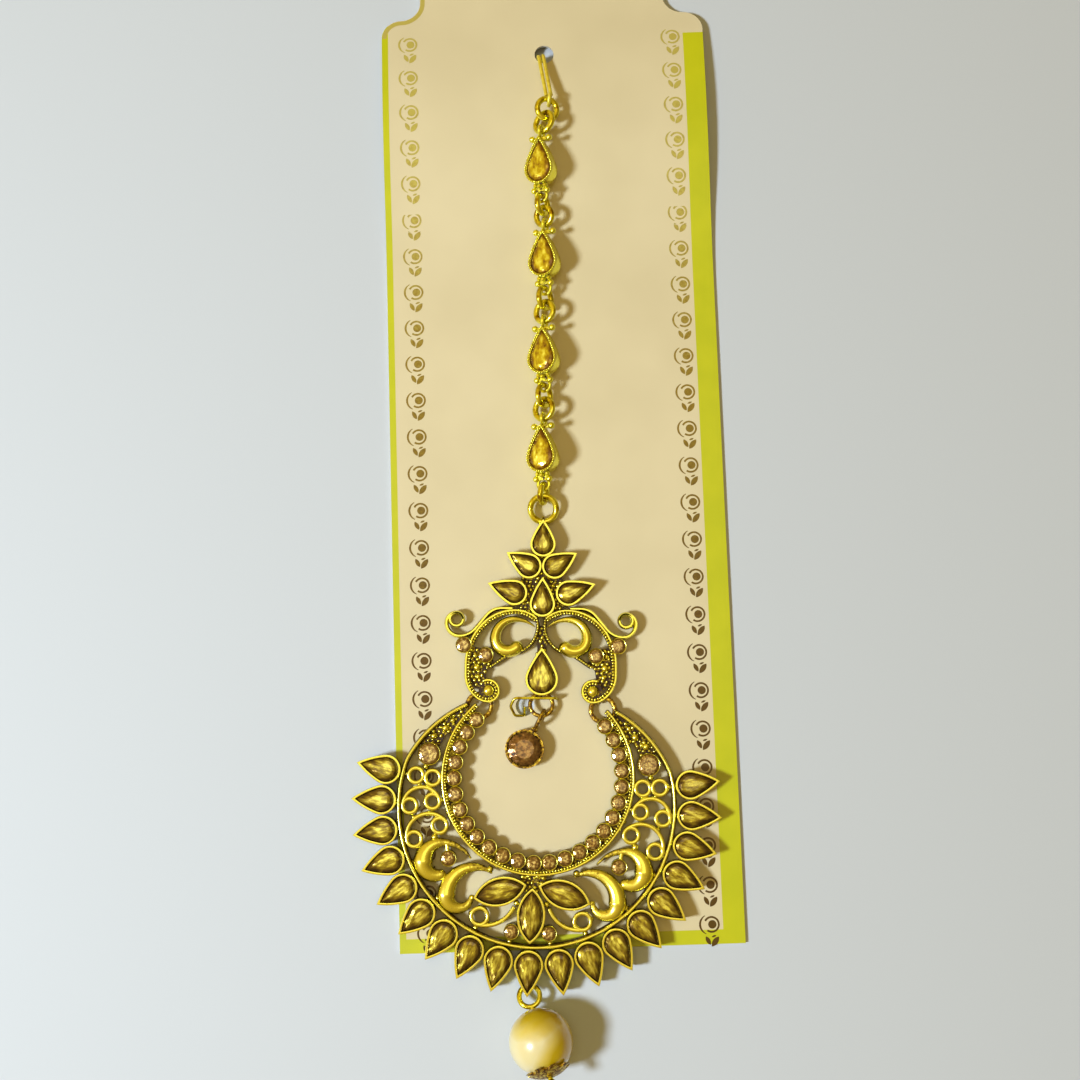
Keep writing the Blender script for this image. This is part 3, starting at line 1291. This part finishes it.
# %% Filigree
loops, arches = [], []
for lx, ly, rx, ry, loop, arch_r in DOUBLE_CURLS:
    loops += [circle_points(lx, ly, loop), circle_points(rx, ry, loop)]
    if arch_r:
        half = math.hypot(rx - lx, ry - ly) / 2
        sink = math.sqrt((arch_r - loop) ** 2 - half ** 2)
        tilt = math.atan2(ry - ly, rx - lx)
        cx = (lx + rx) / 2 + sink * math.sin(tilt)
        cy = (ly + ry) / 2 - sink * math.cos(tilt)
        first = math.degrees(math.atan2(ry - cy, rx - cx))
        last = math.degrees(math.atan2(ly - cy, lx - cx)) % 360
        arches.append(arc_points(cx, cy, arch_r, first, last))
loops.append(circle_points(*FOOT_CURL))
foot_start = (FOOT_CURL[0], FOOT_CURL[1] - FOOT_CURL[2], -9.0)
arches += [[stop[:2] for stop in walk(*foot_start, FOOT_TAIL)], STEM]
dark_z = (WIRE_BACK + WIRE_TOP) / 2 - 0.25
for level, half, depth, polish in ((dark_z, CURL_HALF - 0.03, 2.2, (1.3, 2.6)),
                                   (WIRE_TOP - 0.10, CURL_HALF + 0.03, 0.62, (2.0, 2.4))):
    closed = [(even(line, level, half), True) for line in loops]
    closed += [(flipped(line), True) for line, _ in closed]
    wires(crescent, closed + both([even(line, level, half) for line in arches]), depth, polish,
          12)
swells = [scroll(*sizes, 1.95, 0.20) for sizes in (SCROLL_HIGH, SCROLL_LOW)]
wires(crescent, both(swells), 0.78, (1.6, 3.0), 20)
print("loops and arches of one half:", len(loops), len(arches))

# %% [markdown]
# A band under the inner row carries its cups, and the horns and the lotus's crest have the
# same granulated ground as the crown.

# %% Crescent ground
BAND_SHORT, BAND_INSIDE = 3.0, 0.6      # degrees off each end; from the row's middle in

first, last = -90 - reach + BAND_SHORT, -90 + reach - BAND_SHORT
bed = (arc_points(0, ROW_CENTRE, INNER_WIRE_R, first, last) +
       arc_points(0, ROW_CENTRE, ROW_R - BAND_INSIDE, last, first))
count = len(bed)
band_points = [(x, y, z) for z in (WIRE_BACK, BACKING_TOP) for x, y in bed]
band_faces = []
for near in range(count // 2 - 1):
    low = (near, near + 1, count - 2 - near, count - 1 - near)
    band_faces += [low, tuple(v + count for v in low)]
band_faces += [(i, (i + 1) % count, (i + 1) % count + count, i + count) for i in range(count)]
crescent.add(band_points, band_faces, 0.20)
horn_ground = [(-11.9, 15.1), (-15.6, 13.2), (-18.2, 10.6), (-18.4, 8.0), (-16.1, 8.0),
               (-14.9, 10.3), (-13.4, 11.0), (-11.0, 13.2)]
crest = [(-2.4, -10.2), (2.4, -10.2), (1.2, -13.2), (-1.2, -13.2)]
ground(crescent, (horn_ground, flipped(horn_ground), crest), CRESCENT_SEED)
beads = [(x, y, BACKING_TOP + 0.30 * r, r) for x, y, r in FIELD_BEADS + flipped(FIELD_BEADS)]
grains(crescent, beads, 1.0, (1.8, 2.35))
print("crescent points so far:", crescent.count)

# %% [markdown]
# The petals and the cups of the inner row are one bezel each, repeated by the fan tree.


# %% Petals, cups and leaves
def sample_object(name, build):
    """An object whose mesh is one built shape, for a tree to repeat, and its relief."""
    heap = Heap()
    build(heap)
    mesh = bpy.data.meshes.new(name)
    mesh.from_pydata(np.vstack(heap.points).tolist(), [], heap.faces)
    made = bpy.data.objects.new(name, mesh)
    bpy.context.scene.collection.objects.link(made)
    return made, np.concatenate(heap.relief)


def fan(heap, sample, relief, count, pitch, radius, centre_y):
    """Repeat a sample round a centre and put the copies in the heap."""
    points, faces = baked(line_holder("fan", [([(0, 0, 0)], False)]), fan_tree, {
        "Piece": sample, "Count": count, "Pitch": math.radians(pitch), "Radius": radius,
        "Centre Y": centre_y})
    heap.add(points, faces, np.tile(relief, count))
    bpy.data.objects.remove(sample)


PETAL_FAN = (PETALS, PETAL_PITCH, PETAL_R, 0.0)
ROW_FAN = (ROW_COUNT, ROW_PITCH, ROW_R, ROW_CENTRE)
fan(crescent, *sample_object("petal_sample", lambda heap: bezel(
    heap, lambda inset: pear_outline(PETAL_LENGTH, PETAL_WIDTH, inset), BEZEL_TOP)), *PETAL_FAN)
fan(crescent, *sample_object("cup_sample", lambda heap: bezel(
    heap, lambda inset: round_outline(ROW_CUP, inset, 16), RIM_TOP, foot=WIRE_BACK,
    section=CUP_SECTION)), *ROW_FAN)
for x, y, r in FIELD_ROUNDS + flipped(FIELD_ROUNDS):
    bezel(crescent, lambda inset: round_outline(r, inset), RIM_TOP, x, y, foot=0.9,
          section=CUP_SECTION)
for x, y, turn in LOTUS:
    bezel(crescent, lambda inset: leaf_outline(LEAF_LENGTH, LEAF_WIDTH, inset), BEZEL_TOP, x, y,
          turn)
print("crescent points with its settings:", crescent.count)

# %% [markdown]
# ### Back of the crescent
# Behind the horns the side rings need room, and so does the loop of the pearl's pin
# behind the lowest petal, so the backs are raised there. Small staples hold them. The
# pearl rests on the table, so its pin comes in at a slant.

# %% Where the pearl's loop is
PEARL_TURN, PEARL_DIP = 14.5, 23.2
PIN_R, LOOP_R = 0.40, 1.60
LOOP_FAR = PEARL_R + PIN_R + 2 * LOOP_R + 0.06      # from the pearl's middle to the staple
PIN_GAP, PIN_ROOM = 0.17, (2.3, 1.7)                # over the pin; to its sides and along it


def frame_along(centre, direction, roll=0.0):
    """Matrix whose +Y follows a direction; roll lifts its +X side."""
    y_axis = Vector(direction).normalized()
    side = y_axis.cross(Vector((0, 0, 1))).normalized()
    normal = side.cross(y_axis)
    a = math.radians(roll)
    x_axis = side * math.cos(a) + normal * math.sin(a)
    z_axis = normal * math.cos(a) - side * math.sin(a)
    turned = Matrix((x_axis, y_axis, z_axis)).transposed().to_4x4()
    return Matrix.Translation(Vector(centre)) @ turned


turn, dip = math.radians(PEARL_TURN), math.radians(PEARL_DIP)
toward = (-math.sin(turn) * math.cos(dip), math.cos(turn) * math.cos(dip), -math.sin(dip))
pearl_frame = frame_along((*PEARL_AT, PEARL_R), toward)
crescent_frame = (Matrix.Translation((CRESCENT_AT[0], CRESCENT_AT[1], 0)) @
                  Matrix.Rotation(math.radians(CRESCENT_AT[2]), 4, "Z"))
loop_frame = crescent_frame.inverted() @ pearl_frame
hold = loop_frame @ Vector((0, LOOP_FAR, 0))
print("the pearl's staple in the crescent, mm:", [round(v, 2) for v in hold])

# %% [markdown]
# The side rings are known in the crown's millimetres. The crescent lies at another turn,
# so their middles are worked out again in its own.


# %% Back of the crescent
def crescent_local(side):
    """The middle of a side ring in the crescent's millimetres."""
    x, y = placed(CROWN_AT, *SIDE_RINGS[side])
    a = math.radians(-CRESCENT_AT[2])
    dx, dy = x - CRESCENT_AT[0], y - CRESCENT_AT[1]
    return dx * math.cos(a) - dy * math.sin(a), dx * math.sin(a) + dy * math.cos(a)


def above_pin(points):
    """Raise the back over the pin's loop, which comes in at a slant."""
    back = np.array(loop_frame.inverted())
    local = points @ back[:3, :3].T + back[:3, 3]
    roof = PIN_R + PIN_GAP
    near = (np.abs(local[:, 0]) < PIN_ROOM[0]) & (np.abs(local[:, 1] - LOOP_FAR) < PIN_ROOM[1])
    near &= local[:, 2] < roof
    points[near, 2] += (roof - local[near, 2]) / back[2, 2]
    return points


side_spots = [(*crescent_local(side), RECESS_R, RECESS_TOP) for side in (-1, 1)]
crescent.move(lambda points: above_pin(lifted(points, side_spots)))
for side in (-1, 1):
    lean = -90 + side * HORN_STAPLE_LEAN
    spot = polar(*crescent_local(side), SIDE_RING_R, lean)
    staple(crescent, (*spot, SIDE_RING_Z), about_z(lean + 90))
staple(crescent, hold, loop_frame.to_3x3())
crescent_piece = finished("crescent_casting", crescent, cast_gold, CRESCENT_AT)
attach(crescent_piece, "root")
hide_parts("crescent_frame")

# %% [markdown]
# ### Stones of the crescent
# The stones of the petals and of the inner row are placed by the same fan as their
# settings, so they're one mesh each.


# %% Crescent stones
def fan_gems(name, old, outline, edge, tiers, fan_sizes, finish):
    """A fan of one stone, each copy with a cut number of its own."""
    pattern = Heap()
    gem(pattern, outline, edge, tiers=tiers)
    sample, relief = sample_object(f"{name}_sample",
                                   lambda heap: gem(heap, outline, edge, tiers=tiers))
    row = Heap()
    fan(row, sample, relief, *fan_sizes)
    steps = np.array(CUT_STEP)
    row.cut = [np.vstack([pattern.cut[0] + steps * i for i in range(fan_sizes[0])])]
    gem_object(name, old, row, finish, CRESCENT_AT)


fan_gems("petal_gems", [f"petal_stone_{i + 1:02d}" for i in range(PETALS)],
         lambda inset: pear_outline(PETAL_LENGTH, PETAL_WIDTH, inset + GEM_INSET, 5),
         BEZEL_TOP, GEM_TIERS, PETAL_FAN, champagne)
fan_gems("inner_row_gems", ["rim_stones"],
         lambda inset: round_outline(ROW_CUP, SMALL_GEM_INSET + inset, 10),
         RIM_TOP, SMALL_GEM_TIERS, ROW_FAN, rose)
round_gems("crescent_small_gems", "crescent_round_stones", FIELD_ROUNDS + flipped(FIELD_ROUNDS),
           CRESCENT_AT)
for number, place in enumerate(LOTUS):
    stone = Heap()
    gem(stone, lambda inset: leaf_outline(LEAF_LENGTH, LEAF_WIDTH, inset + GEM_INSET, 5),
        BEZEL_TOP, *place, number + LOTUS_NUMBER)
    gem_object(f"lotus_gem_{number + 1}", [f"lotus_stone_{number + 1}"], stone, champagne,
               CRESCENT_AT)

# %% [markdown]
# ## Chain links
# Each link is a deep pear cup with a beaded edge, a ball on each side of its tip and a
# cluster of balls at its foot. The links are rolled to the left, so that their smooth
# right walls show and catch the light. The card bows up under them, and each link follows
# the card's slope.

# %% Places of the links
LINK_LENGTH, LINK_WIDTH, LINK_DEPTH, LINK_TIP = 7.85, 4.95, 2.7, 4.40
LINK_TOP_EYE, LINK_FOOT_EYE, EYE_R, EYE_WIRE = 5.35, -5.25, 0.97, 0.28
LINK_PITCH, LINK_4_Y, CHAIN_HEIGHT = 16.17, -4.7, 2.65
LINK_ROLLS = (26.0, 25.0, 24.0, 24.0)
LINK_SHIFT, LINK_DROP = (-0.38, 0.25, 0.15, 0.05), (0.82, 0.0, 0.0, 0.0)
HANG_HOLE = (0.2, 63.15)
HUMP_START, HUMP_QUARTER, HUMP_RADIUS = 24.0, 14.75, 124.3


def card_rise(y):
    """How far the card bows off the table at a distance along it."""
    run, top_end = y - HUMP_START, HUMP_START + 4 * HUMP_QUARTER
    if run <= 0 or y >= top_end:
        return 0.0
    if run <= HUMP_QUARTER:
        return HUMP_RADIUS - math.sqrt(HUMP_RADIUS ** 2 - run ** 2)
    if run >= 3 * HUMP_QUARTER:
        return HUMP_RADIUS - math.sqrt(HUMP_RADIUS ** 2 - (top_end - y) ** 2)
    drop = 2 * math.sqrt(HUMP_RADIUS ** 2 - HUMP_QUARTER ** 2)
    return math.sqrt(HUMP_RADIUS ** 2 - (run - 2 * HUMP_QUARTER) ** 2) + HUMP_RADIUS - drop


low_x, low_y = placed(CROWN_AT, *PEAR_TIP_STAPLE)
chain_lean = (HANG_HOLE[0] - low_x) / (HANG_HOLE[1] - low_y)


def link_frame(index):
    """Matrix that puts a link in its place on the bowed card."""
    y = LINK_4_Y + LINK_PITCH * (3 - index) - LINK_DROP[index]
    x = low_x + chain_lean * (y - low_y) + LINK_SHIFT[index]
    slope = (card_rise(y + 1) - card_rise(y - 1)) / 2
    return frame_along((x, y, CARD_FACE + card_rise(y) + CHAIN_HEIGHT), (chain_lean, 1, slope),
                       LINK_ROLLS[index])


print("highest bow of the card, mm:", round(card_rise(HUMP_START + 2 * HUMP_QUARTER), 2))

# %% [markdown]
# One link is built in its own millimetres and put in four places. Its section is rounder
# than a bezel's and has a bright waist, and its stain is lighter than the castings'.

# %% Chain links
LINK_SECTION = [
    (0.42, 2.70, 0.5), (0.20, 2.62, 0.7), (0.10, 2.1, 0.9), (0.13, 1.2, 1.0),
    (0.16, 0.75, 0.9), (0.06, 0.42, 0.5), (0.04, 0.2, 0.4), (0.14, 0.10, 0.4),
    (0.34, 0.12, 0.6), (0.40, 0.24, 0.3), (0.42, 0.4, 0.0), (0.43, 0.95, 0.0)]
LINK_MIDDLE, LINK_FOOT = LINK_TIP - LINK_LENGTH / 2, LINK_TIP - LINK_LENGTH
LINK_TOP = LINK_DEPTH / 2


def link_shape():
    """One link, its tip at +Y and its stone facing +Z."""
    heap = Heap()
    bezel(heap, lambda inset: pear_outline(LINK_LENGTH, LINK_WIDTH, inset, 14), LINK_TOP, 0,
          LINK_MIDDLE, foot=-LINK_TOP, section=LINK_SECTION)
    edge = [(x, y + LINK_MIDDLE, LINK_TOP - 0.08, 0.2)
            for x, y in pear_outline(LINK_LENGTH, LINK_WIDTH, 0.12, 14)]
    bead_line(heap, [(edge, True)], 0.22, 0.42, 1.0)
    tip, foot = LINK_TIP, LINK_FOOT
    for side in (-1, 1):
        dome(heap, side * 1.50, tip - 0.25, 0.35, 0.55, 1.0, 0.9, 14, 9)
        dome(heap, side * 0.85, foot - 0.20, 0.45, 0.43, 1.0, 0.9, 10, 7)
        dome(heap, side * 1.15, foot - 1.00, 0.35, 0.53, 1.0, 0.8, 12, 8)
    dome(heap, 0, foot - 0.45, 0.75, 0.43, 1.0, 1.0, 10, 7)
    plate(heap, [(-1.45, tip - 0.55), (1.45, tip - 0.55), (1.45, tip - 0.1), (-1.45, tip - 0.1)],
          0.0, 0.5, 0.5)
    plate(heap, [(-0.95, foot - 1.2), (0.95, foot - 1.2), (0.95, foot + 0.3), (-0.95, foot + 0.3)],
          -0.32, 0.45, 0.3)
    ring_shape(heap, (0, LINK_TOP_EYE, 0), EYE_R, EYE_WIRE, UPRIGHT, 0.9)
    ring_shape(heap, (0, LINK_FOOT_EYE, 0), EYE_R, EYE_WIRE, Matrix.Identity(3), 0.9)
    return heap


def moved_by(heap, matrix):
    """A heap's shapes in a new heap, moved by a matrix."""
    moved = Heap()
    moved.add(np.vstack(heap.points) @ matrix[:3, :3].T + matrix[:3, 3], heap.faces,
              np.concatenate(heap.relief), np.vstack(heap.cut))
    return moved


link_gold = antique_gold("chain_link_gold", tone(232, 230, 90), tone(198, 182, 40),
                         tone(76, 46, 12), 0.35)
pattern = link_shape()
for index in range(4):
    matrix = np.array(link_frame(index))
    link = finished(f"dressed_link_{index + 1}", moved_by(pattern, matrix), link_gold)
    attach(link, "root")
    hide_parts(f"chain_link_{index + 1}")
    stone = Heap()
    gem(stone, lambda inset: pear_outline(LINK_LENGTH, LINK_WIDTH, inset + LINK_GEM_INSET, 5),
        LINK_TOP, 0, LINK_MIDDLE, 0, index + LINK_NUMBER)
    gem_object(f"link_gem_{index + 1}", [f"link_stone_{index + 1}"], moved_by(stone, matrix),
               link_glass)

# %% [markdown]
# ## Drop stone
# The stone of the small hanging setting under the crown stays where the model has it; only
# its points get their two numbers, from the distance to its middle. Its relief is kept
# between two limits, so that it stays brown all over.

# %% Drop stone
drop = nodes["drop_stone"].data
drop_points = np.empty(len(drop.vertices) * 3)
drop.vertices.foreach_get("co", drop_points)
drop_points = drop_points.reshape(-1, 3) / MM
from_middle = drop_points - (drop_points.min(axis=0) + drop_points.max(axis=0)) / 2
reach = np.hypot(from_middle[:, 0], from_middle[:, 1])
drop_relief = np.clip(2.4 * (1 - reach / reach.max()), 0.35, 0.65)
drop_heap = Heap()
drop_heap.add(drop_points, [tuple(p.vertices) for p in drop.polygons], drop_relief, from_middle)
gem_object("drop_gem", ["drop_stone"], drop_heap, brown)

# %% [markdown]
# ## Foil border
# Down each side of the card runs a stamped foil border: a dot in an open ring, an arc
# outside it, and a short stalk with two small leaves, again and again. One unit is drawn
# as thin flat shapes, a tree repeats it down a line, and the copies are laid on the card's
# bow.

# %% Border tree and unit
border_tree, start = new_tree("border_row", ("Unit", "Object"), ("Pitch", "Float"))
along = node(border_tree, "GeometryNodeResampleCurve", {
    "Curve": curve_of(border_tree, start), "Length": start["Pitch"]}, mode="LENGTH")
unit = node(border_tree, "GeometryNodeObjectInfo", {"Object": start["Unit"]})
close_tree(border_tree, start, copies(border_tree, along.outputs["Curve"],
                                      unit.outputs["Geometry"]))


def ribbon(heap, line, halves):
    """Flat strip along a line, its half width given at each point."""
    left, right = [], []
    for i, (x, y) in enumerate(line):
        before, after = line[max(i - 1, 0)], line[min(i + 1, len(line) - 1)]
        heading = math.degrees(math.atan2(after[1] - before[1], after[0] - before[0]))
        left.append((*polar(x, y, halves[i], heading + 90), 0.0))
        right.append((*polar(x, y, halves[i], heading - 90), 0.0))
    count = len(line)
    faces = [(i, i + 1, count + i + 1, count + i) for i in range(count - 1)]
    heap.add(left + right, faces, 1.0)


def border_unit(heap):
    """Dot, open ring, outer arc that tapers to both ends, two leaves and a stalk."""
    dot = [(*polar(0.12, 0.0, 0.66, 24 * i), 0.0) for i in range(15)]
    heap.add(dot, [tuple(range(15))], 1.0)
    ring = arc_points(0.0, 0.0, 1.13, -128, 150, 0.25)
    ribbon(heap, ring, [0.15] * len(ring))
    outer = arc_points(-0.25, 0.0, 1.55, 118, 246, 0.25)
    last = len(outer) - 1
    ribbon(heap, outer, [0.05 + 0.11 * math.sin(math.pi * i / last) for i in range(last + 1)])
    for x, y, turn, length, wide in ((0.48, -2.62, 52, 1.90, 0.86),
                                     (-0.62, -2.45, 118, 1.50, 0.66),
                                     (0.30, -1.80, 20, 0.80, 0.30)):
        leaf = set_in([(px, py, 0) for px, py in leaf_outline(length, wide, 0, 4)], x, y,
                      turn - 90)
        heap.add(leaf, [tuple(range(len(leaf)))], 1.0)


shown = Heap()
border_unit(shown)
print("one unit of the border:", shown.count, "points")

# %% [markdown]
# Foil is metal a few thousandths of a millimetre thick. It is gold where it mirrors the
# lamp and olive brown where it mirrors the dark room, which here is lower down the card.

# %% Foil finish
FOIL_DARK, FOIL_BRIGHT = -0.045, 0.062      # metres along the card
foil, tree, shader = plain_finish("border_foil", tone(196, 176, 78), 0.32)
along = node(tree, "ShaderNodeSeparateXYZ", {0: place_of(tree)}).outputs[1]
worn = sums(tree, "MULTIPLY_ADD", noise_of(tree, 0.5), 0.5, -0.25)
shade = sums(tree, "ADD", ranged(tree, along, FOIL_DARK, FOIL_BRIGHT), worn)
fill(tree, shader, {
    "Metallic": 0.35,
    "Base Color": ramp(tree, shade, [
        (0.1, tone(88, 64, 24)), (0.5, tone(136, 112, 36)), (0.95, tone(196, 184, 96))])})
print("foil finish:", foil.name)

# %% [markdown]
# The left row also has the line that follows the card's edge down the header and round
# the shoulder. Everything is flat until the last moment, when each point's height is read
# from the card's bow.

# %% Foil rows
FOIL_LIFT, BORDER_PITCH = 0.015, 5.95
ROW_TOP, ROW_FOOT = 65.7, -80.0
HEADER_LINE_IN, HEADER_LINE_HALF, HEADER_LINE_SHORT = 0.45, 0.36, 3.2


def header_line():
    """Line just inside the card's edge, down the header and round the left shoulder."""
    step = (CARD_HALF - HEADER_HALF) / 2
    x, top = -HEADER_HALF - step, SHOULDER_Y + 2 * step
    line = [(-HEADER_HALF + HEADER_LINE_IN, CARD_TOP_END - HEADER_LINE_SHORT),
            (-HEADER_HALF + HEADER_LINE_IN, top)]
    line += arc_points(x, top, step + HEADER_LINE_IN, 0, -90)[1:]
    return line + arc_points(x, SHOULDER_Y, step - HEADER_LINE_IN, 90, 180)


def laid_on_card(points):
    """Lay flat points on the card's bow."""
    points[:, 2] = [CARD_THICK + FOIL_LIFT + card_rise(y) for y in points[:, 1]]
    return points


for name, x in (("left", -22.3), ("right", 21.8)):
    sample, _ = sample_object(f"border_sample_{name}", border_unit)
    holder = line_holder("border_line", [([(x, ROW_TOP, 0), (x, ROW_FOOT, 0)], False)])
    points, faces = baked(holder, border_tree, {"Unit": sample, "Pitch": BORDER_PITCH})
    bpy.data.objects.remove(sample)
    row = Heap()
    row.add(points, faces, 1.0)
    if name == "left":
        line = header_line()
        ribbon(row, line, [HEADER_LINE_HALF] * len(line))
    row.move(laid_on_card)
    made = finished(f"border_{name}", row, foil)
    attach(made, "root")
